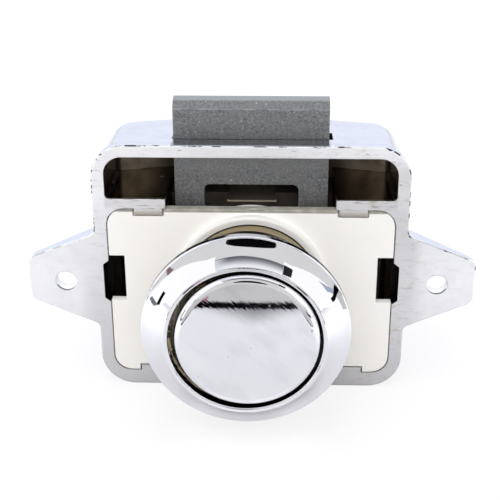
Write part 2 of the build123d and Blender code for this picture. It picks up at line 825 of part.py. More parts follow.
# Rosette: a flared ring whose front lip stands round the knob
hang_centre = (rosette_hang_side, 0, rosette_hang_rise)
with BuildPart() as rosette_ring:
    with BuildSketch(Plane(hang_centre)):
        with BuildLine():
            Polyline(
                (rosette_lip_outer, -rosette_lip_reach),
                (rosette_lip_inner, -rosette_lip_reach),
                (rosette_lip_inner, -rosette_shoulder),
                (sleeve_radius, -rosette_shoulder),
                (sleeve_radius, -rosette_back),
                (rosette_radius, -rosette_back),
                (rosette_radius, -rosette_back - rosette_edge),
            )
            SagittaArc(
                (rosette_radius, -rosette_back - rosette_edge),
                (rosette_lip_outer, -rosette_lip_reach),
                -rosette_hollow,
            )
        make_face()
    revolve(axis=Axis(hang_centre, (0, 1, 0)))
    lip_edges = rosette_ring.edges().group_by(Axis.Y)[0]
    fillet(lip_edges, rosette_lip_round)
    circles = rosette_ring.edges().filter_by(GeomType.CIRCLE)
    outer_circles = circles.filter_by(lambda edge: edge.radius > rosette_radius - rosette_edge_round)
    fillet(outer_circles, rosette_edge_round)
rosette_ring.part.label = "rosette_ring"
export_step(rosette_ring.part, "parts/rosette_ring.step")

# Sleeve pressed into the rosette, for the door's hole
with BuildPart() as rosette_sleeve:
    with BuildSketch(facing(sleeve_length - rosette_shoulder)):
        with Locations((rosette_hang_side, rosette_hang_rise)):
            Circle(sleeve_radius)
            Circle(sleeve_bore, mode=Mode.SUBTRACT)
    extrude(amount=sleeve_length)
    chamfer(rosette_sleeve.faces().sort_by(Axis.Y)[-1].outer_wire().edges(), sleeve_wall / 2)
rosette_sleeve.part.label = "rosette_sleeve"
export_step(rosette_sleeve.part, "parts/rosette_sleeve.step")
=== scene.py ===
import bmesh
import bpy
import json
from math import cos, pi, radians, sin
from mathutils import Matrix, Vector


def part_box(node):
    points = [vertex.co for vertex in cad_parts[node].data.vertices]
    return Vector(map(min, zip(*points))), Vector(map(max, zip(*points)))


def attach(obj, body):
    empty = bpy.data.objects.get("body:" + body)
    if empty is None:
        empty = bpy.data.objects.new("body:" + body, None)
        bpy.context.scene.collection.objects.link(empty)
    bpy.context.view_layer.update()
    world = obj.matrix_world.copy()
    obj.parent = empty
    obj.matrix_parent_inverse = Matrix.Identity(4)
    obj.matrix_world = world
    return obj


# Push button cabinet lock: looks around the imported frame, in metres
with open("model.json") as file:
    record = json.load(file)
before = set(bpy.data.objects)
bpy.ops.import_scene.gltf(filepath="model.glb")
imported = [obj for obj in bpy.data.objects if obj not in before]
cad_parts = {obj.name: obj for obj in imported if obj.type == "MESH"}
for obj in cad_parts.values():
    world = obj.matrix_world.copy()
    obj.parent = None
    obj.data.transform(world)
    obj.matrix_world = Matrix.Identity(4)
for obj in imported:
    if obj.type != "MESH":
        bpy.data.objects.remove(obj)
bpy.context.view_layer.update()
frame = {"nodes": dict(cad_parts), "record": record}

MM = 0.001
PER_MM = 1000

# Places that the finishes and small pieces follow: from the frame, or else as the CAD draws them
CASE_LOW, CASE_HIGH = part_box("housing")
PLATE_LOW, PLATE_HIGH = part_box("front_plate")
BOLT_LOW, BOLT_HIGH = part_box("bolt")
GUIDE_LOW, GUIDE_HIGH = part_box("rear_guide")
KNOB_LOW, KNOB_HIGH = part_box("knob_cap")
RING_LOW, RING_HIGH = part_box("rosette_ring")
SCREWS = next(mount["dims"] for mount in frame["record"]["mounts"] if mount["name"] == "screw_holes")
RIM_TOP = CASE_HIGH[2]
RIM_WIDTH = 1.9 * MM
RIM_HALF = 24.25 * MM
LEDGE_TOP = 14.3 * MM
TAB_PLACE = 16.5 * MM
CAVITY_HALF = 22.1 * MM
CAVITY_TOP = RIM_TOP - RIM_WIDTH
CASE_BACK = CASE_HIGH[1]
PLATE_TOP = PLATE_HIGH[2]
BOSS_RADIUS = 14.5 * MM
BOLT_FRONT = BOLT_LOW[1]
BOLT_HALF = BOLT_HIGH[0]
BOLT_TOP = BOLT_HIGH[2]
BOLT_BEVEL = BOLT_TOP - 1.25 * MM
# Height of the painted light low on the bolt
BOLT_LIT_PLACE = 19.8 * MM
NOTCH_HALF = 5.6 * MM
NOTCH_OUTER = 23.95 * MM
SCREW_PLACE = 0.5 * SCREWS["spacing_x_mm"] * MM
SCREW_RADIUS = SCREWS["hole_r_mm"] * MM
PIT_HALF = 3.8 * MM
PIT_FLOOR = GUIDE_HIGH[2] - 1.4 * MM
PIT_FRONT = GUIDE_LOW[1]
KNOB_RADIUS = KNOB_HIGH[0]
KNOB_FRONT = KNOB_LOW[1] + 0.77 * MM
# Place of the painted shade line along the ring's rear edge
SHADE_LINE_Y = RING_HIGH[1] - 0.85 * MM
SHADE_LINE_RADIUS = 0.5 * (RING_HIGH[0] - RING_LOW[0]) - 1.2 * MM
FLOOR_DROP = 0.05 * MM - CASE_LOW[2]


def linear(value):
    """Linear light from one 8-bit display value."""
    share = value / 255
    return share / 12.92 if share <= 0.04045 else ((share + 0.055) / 1.055) ** 2.4


def shade(red, green, blue):
    """Linear colour from 8-bit display values."""
    return linear(red), linear(green), linear(blue), 1


class Nodes:
    """One node tree and short names for the nodes that go in it."""

    def __init__(self, owner):
        owner.use_nodes = True
        self.tree = owner.node_tree
        self.tree.nodes.clear()

    def add(self, kind):
        return self.tree.nodes.new(kind)

    def link(self, source, socket):
        self.tree.links.new(source, socket)

    def feed(self, socket, value):
        """Join a socket to an output, or give it a plain value."""
        if isinstance(value, bpy.types.NodeSocket):
            self.link(value, socket)
        else:
            socket.default_value = value

    def split(self, vector):
        made = self.add("ShaderNodeSeparateXYZ")
        self.link(vector, made.inputs[0])
        return made.outputs[0], made.outputs[1], made.outputs[2]

    def math(self, operation, first, second=0.0, clamp=False):
        made = self.add("ShaderNodeMath")
        made.operation = operation
        made.use_clamp = clamp
        self.feed(made.inputs[0], first)
        self.feed(made.inputs[1], second)
        return made.outputs[0]

    def span(self, value, low, high, start=0.0, end=1.0):
        """Smooth step of a value from low to high."""
        made = self.add("ShaderNodeMapRange")
        made.interpolation_type = "SMOOTHSTEP"
        self.link(value, made.inputs["Value"])
        made.inputs["From Min"].default_value = low
        made.inputs["From Max"].default_value = high
        made.inputs["To Min"].default_value = start
        made.inputs["To Max"].default_value = end
        return made.outputs["Result"]

    def below(self, value, low, high):
        """Mask, 1 under low and 0 over high."""
        return self.span(value, low, high, 1.0, 0.0)

    def both(self, *shares):
        """Product of several masks and plain numbers."""
        made = shares[0]
        for share in shares[1:]:
            made = self.math("MULTIPLY", made, share)
        return made

    def ramp(self, value, stops):
        """Colour ramp from (place, colour) pairs."""
        made = self.add("ShaderNodeValToRGB")
        elements = made.color_ramp.elements
        while len(elements) < len(stops):
            elements.new(0.5)
        for element, (place, colour) in zip(elements, stops):
            element.position = place
            element.color = colour
        self.link(value, made.inputs["Fac"])
        return made.outputs["Color"]

    def blend(self, share, first, second):
        """Colour between two others."""
        made = self.add("ShaderNodeMix")
        made.data_type = "RGBA"
        self.feed(made.inputs["Factor"], share)
        self.feed(made.inputs[6], first)
        self.feed(made.inputs[7], second)
        return made.outputs[2]

    def level(self, share, first, second):
        """Plain number between two others."""
        made = self.add("ShaderNodeMix")
        self.feed(made.inputs["Factor"], share)
        self.feed(made.inputs[2], first)
        self.feed(made.inputs[3], second)
        return made.outputs[0]

    def any(self, *shares):
        """Largest of several masks."""
        made = shares[0]
        for share in shares[1:]:
            made = self.math("MAXIMUM", made, share)
        return made

    def near(self, value, place, half):
        """Soft mask, 1 where a value is close to a place."""
        apart = self.math("ABSOLUTE", self.math("SUBTRACT", value, place))
        return self.below(apart, 0.5 * half, half)

    def root_sum(self, first, second):
        """Distance from an axis, from the two places across it."""
        square = self.math("MULTIPLY", first, first)
        other = self.math("MULTIPLY", second, second)
        return self.math("SQRT", self.math("ADD", square, other))


class Finish(Nodes):
    """One procedural material that rides on its object's own places."""

    def __init__(self, name, metallic, roughness):
        self.material = bpy.data.materials.new(name)
        super().__init__(self.material)
        self.shader = self.add("ShaderNodeBsdfPrincipled")
        self.output = self.add("ShaderNodeOutputMaterial")
        self.link(self.shader.outputs["BSDF"], self.output.inputs["Surface"])
        self.set("Metallic", metallic)
        self.set("Roughness", roughness)
        places = self.add("ShaderNodeTexCoord")
        self.place = places.outputs["Object"]
        self.facing = places.outputs["Normal"]
        self.x, self.y, self.z = self.split(self.place)

    def set(self, name, value):
        self.feed(self.shader.inputs[name], value)

    def stretch(self, scale, turn=(0, 0, 0)):
        """Object place, turned and then stretched, for grain that runs one way."""
        made = self.add("ShaderNodeMapping")
        made.vector_type = "TEXTURE"
        made.inputs["Scale"].default_value = [1 / share for share in scale]
        made.inputs["Rotation"].default_value = turn
        self.link(self.place, made.inputs["Vector"])
        return made.outputs[0]

    def noise(self, per_mm, detail=4.0, rough=0.55, place=None, warp=0.0):
        made = self.add("ShaderNodeTexNoise")
        made.inputs["Scale"].default_value = per_mm * PER_MM
        made.inputs["Detail"].default_value = detail
        made.inputs["Roughness"].default_value = rough
        made.inputs["Distortion"].default_value = warp
        self.link(place or self.place, made.inputs["Vector"])
        return made.outputs["Fac"]

    def cells(self, per_mm):
        """Distance to the nearest of some scattered points."""
        made = self.add("ShaderNodeTexVoronoi")
        made.inputs["Scale"].default_value = per_mm * PER_MM
        self.link(self.place, made.inputs["Vector"])
        return made.outputs["Distance"]

    def edge_wear(self, radius):
        """Mask, 1 along sharp edges."""
        bent = self.add("ShaderNodeBevel")
        bent.samples = 4
        bent.inputs["Radius"].default_value = radius
        flat = self.add("ShaderNodeNewGeometry")
        made = self.add("ShaderNodeVectorMath")
        made.operation = "DOT_PRODUCT"
        self.link(bent.outputs[0], made.inputs[0])
        self.link(flat.outputs["Normal"], made.inputs[1])
        return self.below(made.outputs["Value"], 0.90, 0.995)

    def round_edges(self, radius):
        """Softened normal along sharp edges."""
        made = self.add("ShaderNodeBevel")
        made.samples = 6
        made.inputs["Radius"].default_value = radius
        return made.outputs[0]

    def bump(self, height, depth, under=None):
        """Bump of a height from 0 to 1 whose full depth is in metres."""
        made = self.add("ShaderNodeBump")
        made.inputs["Strength"].default_value = 1.0
        made.inputs["Distance"].default_value = depth
        self.link(height, made.inputs["Height"])
        if under is not None:
            self.link(under, made.inputs["Normal"])
        return made.outputs[0]

    def dot(self, spot, radius):
        """Soft mask, 1 within a radius of one place, both in millimetres."""
        made = self.add("ShaderNodeVectorMath")
        made.operation = "DISTANCE"
        self.link(self.place, made.inputs[0])
        made.inputs[1].default_value = [length * MM for length in spot]
        return self.below(made.outputs["Value"], 0.6 * radius * MM, radius * MM)


# Plated case
PLATE_TONES = [(0.3, (0.86, 0.86, 0.88, 1)), (0.5, (0.91, 0.91, 0.93, 1)), (0.72, (0.95, 0.95, 0.96, 1))]
# Inside tones: brown tarnish, made dark as painted shade
INSIDE_TARNISH_SHADE_TONES = [
    (0.3, (0.22, 0.175, 0.13, 1)),
    (0.55, (0.46, 0.385, 0.30, 1)),
    (0.75, (0.62, 0.54, 0.44, 1)),
]
# Painted shade on the plating's foot and right side
PLATE_SHADE = (0.60, 0.595, 0.60, 1)
SCRAPE = (0.42, 0.41, 0.43, 1)
# Darker tone on the ledge
LEDGE_DARK = (0.62, 0.60, 0.60, 1)
SCRATCH = (0.20, 0.20, 0.22, 1)
TARNISH = (0.50, 0.41, 0.31, 1)
# Painted shade on the clinched tabs
TAB_SHADE = (0.50, 0.46, 0.41, 1)
# Painted white highlight along the pocket and notch edges
EDGE_HIGHLIGHT = (1.0, 1.0, 1.0, 1)
CHIP = (0.02, 0.02, 0.025, 1)
# Painted shade on the bolt's reflection in the case top, and painted shadow in the slot's gap
BOLT_REFLECTION_SHADE = (0.40, 0.42, 0.44, 1)
SLOT_SHADOW = (0.015, 0.015, 0.017, 1)
# Painted light on the screw-hole walls and painted shade at their lower front edge
BORE_PAINTED_LIGHT = (0.97, 0.97, 0.98, 1)
BORE_PAINTED_SHADE = (0.07, 0.07, 0.08, 1)
# Painted shade in the middle and on the side walls of the inside, painted light at its roof
INSIDE_MIDDLE_SHADE = (0.16, 0.125, 0.088, 1)
INSIDE_ROOF_LIGHT = (0.80, 0.69, 0.54, 1)
INSIDE_WALL_SHADE = (0.050, 0.042, 0.036, 1)
# Painted glint: a small highlight in the left pocket
INSIDE_GLINT = (0.9, 0.88, 0.84, 1)
# Painted shade in the rim's side notches
NOTCH_SHADE = (0.012, 0.011, 0.010, 1)
EJECTOR_MARKS = [(x, CASE_BACK / MM + 0.2, z) for x in (-9.0, 9.0) for z in (-12.0, 14.5)]
EJECTOR_RADIUS = 1.6
GLINT_PLACE = (-14.4, 9.6, 14.05)
GLINT_RADIUS = 0.42


class Casting(Finish):
    """Nickel-plated die casting: scraped front, bright top and walls, brown tarnish and painted shade
    inside.
    """

    def __init__(self):
        super().__init__("plated_zinc", 1.0, 0.2)
        self.facing_x, self.facing_y, self.facing_z = self.split(self.facing)
        self.aside = self.math("ABSOLUTE", self.x)
        self.height = self.math("ABSOLUTE", self.z)
        self.front = self.below(self.facing_y, -0.97, -0.7)
        self.not_front = self.below(self.front, 0.0, 0.5)
        self.top_zone = self.span(self.z, LEDGE_TOP - 2.2 * MM, LEDGE_TOP - 1.4 * MM)
        self.clean_ear = self.span(self.aside, RIM_HALF - 0.5 * MM, RIM_HALF + 2.5 * MM, 1.0, 0.35)
        self.streak = self.noise(1.0, 6, 0.7, self.stretch((0.35, 1, 2.6), (0, 0.12, 0)), 0.8)
        self.dashes = self.noise(2.6, 2, 0.5, self.stretch((0.16, 1, 1.5), (0, 0.08, 0)), 0.4)

        notch = self.notches()
        inside = self.both(self.any(self.hollow(), notch), self.math("SUBTRACT", 1.0, self.outward()))
        slotted, side_wall = self.slot(self.highlights_and_chips(self.worn_front()))
        holed, bored = self.screw_holes(slotted)
        self.set("Base Color", self.blend(inside, holed, self.inside_tarnish_and_shade(notch)))
        worn = self.level(self.span(self.streak, 0.35, 0.7), 0.28, 0.46)
        wall_metal = self.level(bored, 1.0, 0.1)
        self.set("Metallic", self.level(self.front, wall_metal, self.level(self.top_zone, 0.62, 0.45)))
        self.set("Roughness", self.level(self.front, self.level(inside, 0.09, 0.16), worn))
        # No specular in the notches and the slot's gap walls, so their painted shade stays black
        self.set("Specular IOR Level", self.level(self.any(notch, side_wall), 0.5, 0.0))
        self.set("Normal", self.relief())

    def outward(self):
        """Mask, 1 on the faces that look out of the case, behind and at its sides."""
        behind = self.span(self.facing_y, 0.1, 0.3)
        sideways = self.span(self.math("MULTIPLY", self.facing_x, self.x), 2 * MM, 5 * MM)
        return self.any(behind, sideways)

    def hollow(self):
        """Mask of the room inside the case."""
        return self.both(
            self.below(self.aside, CAVITY_HALF, CAVITY_HALF + 0.25 * MM),
            self.below(self.height, CAVITY_TOP, CAVITY_TOP + 0.2 * MM),
            self.span(self.y, 0.3 * MM, 0.9 * MM),
            self.below(self.y, CASE_BACK - 1.7 * MM, CASE_BACK - 1.3 * MM),
        )

    def notches(self):
        """Mask of the rim's side notches."""
        return self.both(
            self.below(self.aside, NOTCH_OUTER - 0.1 * MM, NOTCH_OUTER),
            self.below(self.height, NOTCH_HALF, NOTCH_HALF + 0.5 * MM),
            self.span(self.y, 0.15 * MM, 0.45 * MM),
            self.below(self.y, 6 * MM, 8 * MM),
        )

    def worn_front(self):
        """Plating with painted shade at its foot and right side, scrapes, a darker ledge, tarnish and
        painted shade on the tabs.
        """
        plate = self.ramp(self.noise(0.35, 5, 0.6), PLATE_TONES)
        low = self.below(self.z, -19 * MM, 16 * MM)
        right = self.both(
            self.span(self.x, 12 * MM, 24 * MM),
            self.below(self.z, 18 * MM, 22 * MM),
            self.below(self.x, 25 * MM, 28 * MM),
        )
        on_rim = self.span(self.aside, RIM_HALF + 0.3 * MM, RIM_HALF + 4 * MM, 1.0, 0.25)
        # Painted shade: darker towards the foot and on the right side
        shaded_low_and_right = self.both(self.any(self.both(low, 0.90), self.both(right, 0.58)), self.front, on_rim)
        toned = self.blend(shaded_low_and_right, plate, PLATE_SHADE)
        ledge = self.both(
            self.top_zone,
            self.below(self.z, LEDGE_TOP - 0.1 * MM, LEDGE_TOP + 0.2 * MM),
            self.below(self.aside, 22 * MM, 22.5 * MM),
        )
        scrape = self.both(
            self.front,
            self.span(self.streak, 0.56, 0.66),
            self.level(ledge, 0.26, 0.75),
            self.clean_ear,
        )
        scraped = self.blend(scrape, toned, SCRAPE)
        ledge_darkened = self.blend(self.both(ledge, 0.55), scraped, LEDGE_DARK)
        patches = self.span(self.noise(0.5, 2), 0.35, 0.6, 0.2, 0.6)
        marks = self.any(
            self.both(self.span(self.dashes, 0.66, 0.72), self.level(self.top_zone, 0.25, 0.7)),
            self.both(ledge, self.span(self.dashes, 0.57, 0.64), patches),
        )
        scratched = self.blend(self.both(self.front, marks, self.clean_ear), ledge_darkened, SCRATCH)
        tarnish = self.both(
            self.front,
            self.span(self.noise(0.45, 4, 0.6, self.stretch((1, 1, 2))), 0.52, 0.72),
            self.span(self.x, 8 * MM, 22 * MM),
            self.span(self.x, 24 * MM, 28 * MM, 1.0, 0.3),
        )
        browned = self.blend(self.both(tarnish, 0.6), scratched, TARNISH)
        # Painted shade on the clinched tabs
        tab = self.both(
            self.below(self.z, PLATE_TOP - 0.9 * MM, PLATE_TOP + 0.3 * MM),
            self.span(self.z, PLATE_TOP - 2.5 * MM, PLATE_TOP - 2.2 * MM),
            self.near(self.aside, TAB_PLACE, 5 * MM),
        )
        return self.blend(self.both(self.front, tab), browned, TAB_SHADE)

    def highlights_and_chips(self, tone):
        """Painted white highlights along the edges round the pockets and notches, and dark chips along the
        outer edges.
        """
        pocket = self.both(
            self.front,
            self.edge_wear(0.34 * MM),
            self.span(self.z, LEDGE_TOP + 0.3 * MM, LEDGE_TOP + 1.5 * MM),
            self.below(self.z, RIM_TOP - 1.3 * MM, RIM_TOP - 1.1 * MM),
            self.below(self.aside, RIM_HALF - 1.2 * MM, RIM_HALF - 0.9 * MM),
        )
        notch = self.both(
            self.front,
            self.edge_wear(0.34 * MM),
            self.below(self.height, NOTCH_HALF + 0.7 * MM, NOTCH_HALF + 1.1 * MM),
            self.near(self.aside, NOTCH_OUTER, 2 * MM),
        )
        lit_edge = self.any(pocket, notch)
        highlighted = self.blend(lit_edge, tone, EDGE_HIGHLIGHT)
        outer_round = self.both(
            self.span(self.facing_y, -0.99, -0.93),
            self.below(self.facing_y, -0.55, -0.35),
            self.below(self.y, 0.5 * MM, 0.7 * MM),
        )
        sharp = self.both(self.edge_wear(0.2 * MM), self.front, self.math("SUBTRACT", 1.0, lit_edge))
        chips = self.span(self.noise(1.1, 4, 0.6, self.stretch((0.40, 1, 1))), 0.51, 0.57)
        upper = self.span(self.z, -2 * MM, 4 * MM, 0.15, 1.0)
        left_ear = self.span(self.x, -27 * MM, -24.5 * MM, 0.35, 1.0)
        chipped = self.both(self.any(sharp, outer_round), chips, upper, left_ear)
        right_ear = self.both(
            self.edge_wear(0.16 * MM),
            self.front,
            self.span(self.x, 25.5 * MM, 27 * MM),
            self.span(self.noise(0.5, 3), 0.36, 0.5, 0.0, 0.55),
            upper,
        )
        return self.blend(self.any(chipped, right_ear), highlighted, CHIP)

    def slot(self, tone):
        """Painted shade on the bolt's reflection in front of the bolt, and painted shadow in the gap beside
        it, with the gap's wall mask.
        """
        mirrored_bolt = self.both(
            self.below(self.aside, BOLT_HALF - 0.1 * MM, BOLT_HALF + 0.2 * MM),
            self.below(self.y, BOLT_FRONT, BOLT_FRONT + 0.3 * MM),
            self.span(self.z, RIM_TOP - 0.9 * MM, RIM_TOP - 0.6 * MM),
            self.not_front,
        )
        reflection_shaded = self.blend(self.both(mirrored_bolt, 0.9), tone, BOLT_REFLECTION_SHADE)
        gap = self.both(
            self.below(self.aside, BOLT_HALF + 1.1 * MM, BOLT_HALF + 1.3 * MM),
            self.span(self.y, BOLT_FRONT - 0.5 * MM, BOLT_FRONT - 0.35 * MM),
            self.span(self.z, RIM_TOP - 2.1 * MM, RIM_TOP - 1.8 * MM),
            self.below(self.y, 9 * MM, 10 * MM),
        )
        side_wall = self.both(gap, self.below(self.facing_z, 0.5, 0.8))
        lip = self.both(gap, self.below(self.aside, BOLT_HALF - 0.1 * MM, BOLT_HALF + 0.1 * MM))
        return self.blend(self.any(side_wall, lip), reflection_shaded, SLOT_SHADOW), side_wall

    def screw_holes(self, tone):
        """Painted light on the hole walls so they look open, and painted shade along their lower front
        edge, with the walls' mask.
        """
        from_hole = self.root_sum(self.math("SUBTRACT", self.aside, SCREW_PLACE), self.z)
        close = self.below(from_hole, SCREW_RADIUS + 0.04 * MM, SCREW_RADIUS + 0.08 * MM)
        bored = self.both(close, self.not_front)
        lit_bore = self.blend(bored, tone, BORE_PAINTED_LIGHT)
        shaded = self.both(
            bored,
            self.below(self.y, 0.35 * MM, 0.5 * MM),
            self.below(self.z, -0.9 * MM, -0.5 * MM),
        )
        return self.blend(shaded, lit_bore, BORE_PAINTED_SHADE), bored

    def inside_tarnish_and_shade(self, notch):
        """Brown tarnish inside, darkened as painted shade, with more painted shade at its middle, side
        walls and notches, painted light at its roof and a painted glint.
        """
        tarnish_and_shade = self.ramp(self.noise(0.22, 3, 0.5, self.stretch((1.4, 0.4, 1))), INSIDE_TARNISH_SHADE_TONES)
        middle_shaded = self.blend(self.span(self.aside, 12 * MM, 18.5 * MM), INSIDE_MIDDLE_SHADE, tarnish_and_shade)
        roof = self.span(self.z, CAVITY_TOP - 0.4 * MM, CAVITY_TOP - 0.1 * MM)
        roof_lit = self.blend(self.both(roof, self.span(self.aside, 13 * MM, 19 * MM)), middle_shaded, INSIDE_ROOF_LIGHT)
        nearer = self.math("SUBTRACT", self.aside, self.math("MULTIPLY", self.y, 0.045))
        wall_shaded = self.blend(self.span(nearer, 20.6 * MM, 21.0 * MM), roof_lit, INSIDE_WALL_SHADE)
        glinted = self.blend(self.dot(GLINT_PLACE, GLINT_RADIUS), wall_shaded, INSIDE_GLINT)
        return self.blend(notch, glinted, NOTCH_SHADE)

    def relief(self):
        """Soft dents all over, streaks and scratches on the front, ejector marks behind."""
        ejectors = self.any(*[self.dot(spot, EJECTOR_RADIUS) for spot in EJECTOR_MARKS])
        made = self.bump(self.noise(0.5, 3, 0.5), 0.010 * MM, self.round_edges(0.26 * MM))
        made = self.bump(self.both(self.streak, self.front, self.clean_ear), 0.05 * MM, made)
        made = self.bump(self.both(self.dashes, self.front, self.clean_ear), 0.03 * MM, made)
        return self.bump(ejectors, -0.05 * MM, made)


# Chrome of the knob and the ring
CHROME_TONES = [(0.35, (0.88, 0.88, 0.90, 1)), (0.7, (0.93, 0.93, 0.94, 1))]
HAZE = (0.56, 0.56, 0.58, 1)
# Knob's side: painted shade, and further back a painted tan reflection of the cream moulding in shade
KNOB_SIDE_SHADE = (0.035, 0.032, 0.028, 1)
BRASSY = (0.42, 0.36, 0.20, 1)
KNOB_SIDE_TAN_REFLECTION = (0.41, 0.33, 0.19, 1)
# Painted shade line along the ring's rear edge
RING_EDGE_SHADE = (0.02, 0.02, 0.024, 1)
SPECK = (0.25, 0.25, 0.27, 1)
KNOB_PITS = [
    (0.6, -19.3, -0.6),
    (-2.6, -19.3, -2.1),
    (7.4, -19.2, 1.9),
    (-7.0, -19.2, -5.5),
    (3.2, -19.3, 6.2),
]
PIT_RADIUS = 0.12


def chrome_plate():
    """Polished chrome, nearly a mirror, with buffing streaks and pits; on the knob's side painted shade
    with brassy streaks and a painted tan reflection further back, and a painted shade line along the ring's
    rear edge.
    """
    made = Finish("chrome_plate", 1.0, 0.02)
    radius = made.root_sum(made.x, made.z)
    film = made.noise(0.12, 4, 0.6)
    polished = made.ramp(film, CHROME_TONES)
    face = made.below(made.y, KNOB_FRONT - 0.3 * MM, KNOB_FRONT)
    cloud = made.noise(0.24, 3, 0.5, made.stretch((0.7, 1, 1.7), (0, radians(42), 0)))
    upper_right = made.span(made.math("ADD", made.math("MULTIPLY", made.x, 0.5), made.z), -9 * MM, 0.5 * MM)
    haze = made.both(face, made.span(cloud, 0.44, 0.72), made.level(upper_right, 0.16, 0.30))
    clean = made.blend(haze, polished, HAZE)

    side = made.both(
        made.below(radius, KNOB_RADIUS + 0.15 * MM, KNOB_RADIUS + 0.25 * MM),
        made.span(made.y, KNOB_FRONT + 2.4 * MM, KNOB_FRONT + 5 * MM),
    )
    brassy = made.both(
        made.span(made.x, -6 * MM, -9 * MM),
        made.span(made.z, -9 * MM, -5 * MM),
        made.span(made.noise(0.9, 4, 0.7, made.stretch((1, 0.06, 1))), 0.46, 0.54),
    )
    side_shaded = made.blend(brassy, KNOB_SIDE_SHADE, BRASSY)
    rear = made.blend(made.span(made.y, -12.5 * MM, -12 * MM), side_shaded, KNOB_SIDE_TAN_REFLECTION)
    thin = made.blend(side, clean, rear)
    # Painted shade line along the ring's rear outer edge
    shade_line = made.both(
        made.span(radius, SHADE_LINE_RADIUS, SHADE_LINE_RADIUS + 0.3 * MM),
        made.span(made.y, SHADE_LINE_Y - 0.35 * MM, SHADE_LINE_Y - 0.25 * MM),
        made.below(made.y, SHADE_LINE_Y + 0.35 * MM, SHADE_LINE_Y + 0.5 * MM),
        made.span(made.math("ABSOLUTE", made.x), 3.5 * MM, 8 * MM, 0.35, 1.0),
    )
    shade_lined = made.blend(shade_line, thin, RING_EDGE_SHADE)
    pits = made.any(*[made.dot(spot, PIT_RADIUS) for spot in KNOB_PITS])
    dust = made.below(made.cells(0.9), 0.035, 0.06)
    made.set("Base Color", made.blend(made.any(pits, made.both(dust, 0.35)), shade_lined, SPECK))
    made.set("Roughness", made.level(side, made.level(made.span(film, 0.3, 0.75), 0.015, 0.045), 0.16))

    strokes = made.noise(1.0, 2, 0.5, made.stretch((0.35, 1, 3.0), (0, radians(44), 0)))
    fine = made.noise(1.0, 2, 0.5, made.stretch((0.45, 1, 7.0), (0, radians(50), 0)))
    buffing = made.math("ADD", made.span(strokes, 0.40, 0.66), fine)
    relief = made.bump(made.noise(0.14, 2, 0.5), 0.005 * MM)
    relief = made.bump(made.both(buffing, face), 0.00055 * MM, relief)
    made.set("Normal", made.bump(pits, -0.02 * MM, relief))
    return made.material


# Bolt
ZINC_TONES = [
    (0.34, (0.10, 0.104, 0.110, 1)),
    (0.5, (0.26, 0.267, 0.272, 1)),
    (0.66, (0.52, 0.53, 0.54, 1)),
]
ZINC_PATCH = (0.31, 0.308, 0.30, 1)
ZINC_FLECK = (0.74, 0.75, 0.77, 1)
# Lighter line along the bevel's edge
ZINC_BEVEL_LINE = (0.6, 0.6, 0.62, 1)
ZINC_RUBBED = (0.55, 0.56, 0.58, 1)
# Painted shade on the bolt's bevel
ZINC_BEVEL_SHADE = (0.13, 0.134, 0.14, 1)
# Painted light low on the bolt
ZINC_LOW_LIGHT = (0.42, 0.42, 0.43, 1)
# Painted highlight along the bolt's top edge
ZINC_TOP_HIGHLIGHT = (0.50, 0.51, 0.53, 1)


def grey_zinc():
    """Bare grey zinc with a coarse cast grain, light flecks, rubbed edges and a lighter line at the bevel;
    painted shade on the bevel, painted light low down and a painted highlight along the rounded top edge.
    """
    made = Finish("grey_zinc", 0.75, 0.5)
    grain = made.noise(2.8, 6, 0.9)
    patches = made.span(made.noise(0.35, 4, 0.6), 0.35, 0.7, 0.0, 0.4)
    toned = made.blend(patches, made.ramp(grain, ZINC_TONES), ZINC_PATCH)
    flecks = made.below(made.cells(1.1), 0.10, 0.18)
    sparse = made.both(flecks, made.span(made.noise(0.7, 2), 0.52, 0.62))
    flecked = made.blend(sparse, toned, ZINC_FLECK)
    bevel_line = made.both(made.near(made.z, BOLT_BEVEL, 0.11 * MM), made.span(made.noise(0.6, 3), 0.40, 0.58))
    bevel_lined = made.blend(made.both(bevel_line, 0.55), flecked, ZINC_BEVEL_LINE)
    edge_band = made.both(made.edge_wear(0.22 * MM), made.span(grain, 0.4, 0.6, 0.15, 0.8))
    worn = made.blend(edge_band, bevel_lined, ZINC_RUBBED)
    # Painted shade on the bevel
    bevel = made.span(made.z, BOLT_BEVEL - 0.1 * MM, BOLT_BEVEL + 0.1 * MM, 0.0, 0.35)
    bevel_shaded = made.blend(bevel, worn, ZINC_BEVEL_SHADE)
    # Painted light low on the bolt
    low_lit = made.blend(made.both(made.near(made.z, BOLT_LIT_PLACE, 3.4 * MM), 0.25), bevel_shaded, ZINC_LOW_LIGHT)
    # Painted highlight along the top edge
    top_highlight = made.span(made.z, BOLT_TOP - 0.35 * MM, BOLT_TOP - 0.1 * MM)
    made.set("Base Color", made.blend(made.both(top_highlight, 0.6), low_lit, ZINC_TOP_HIGHLIGHT))
    made.set("Roughness", made.level(made.span(grain, 0.3, 0.7), 0.46, 0.66))
    made.set("Normal", made.bump(grain, 0.06 * MM, made.round_edges(0.28 * MM)))
    return made.material


# Mouldings
CREAM_TONES = [(0.3, (0.875, 0.855, 0.815, 1)), (0.7, (0.905, 0.89, 0.86, 1))]
# Painted shade, warmer and darker, towards the bottom of the plate
CREAM_LOW_SHADE = (0.83, 0.805, 0.755, 1)
# Painted shade on the boss
CREAM_BOSS_SHADE = (0.71, 0.70, 0.68, 1)
# Painted shade along the plate's top edge
CREAM_TOP_EDGE_SHADE = (0.27, 0.265, 0.225, 1)
WHITE_TONES = [(0.3, (0.76, 0.75, 0.71, 1)), (0.7, (0.84, 0.83, 0.80, 1))]
BROWN_TONES = [(0.3, (0.030, 0.026, 0.019, 1)), (0.7, (0.062, 0.053, 0.040, 1))]
BROWN_DUSTY = (0.17, 0.15, 0.115, 1)
BROWN_LIP = (0.55, 0.48, 0.36, 1)


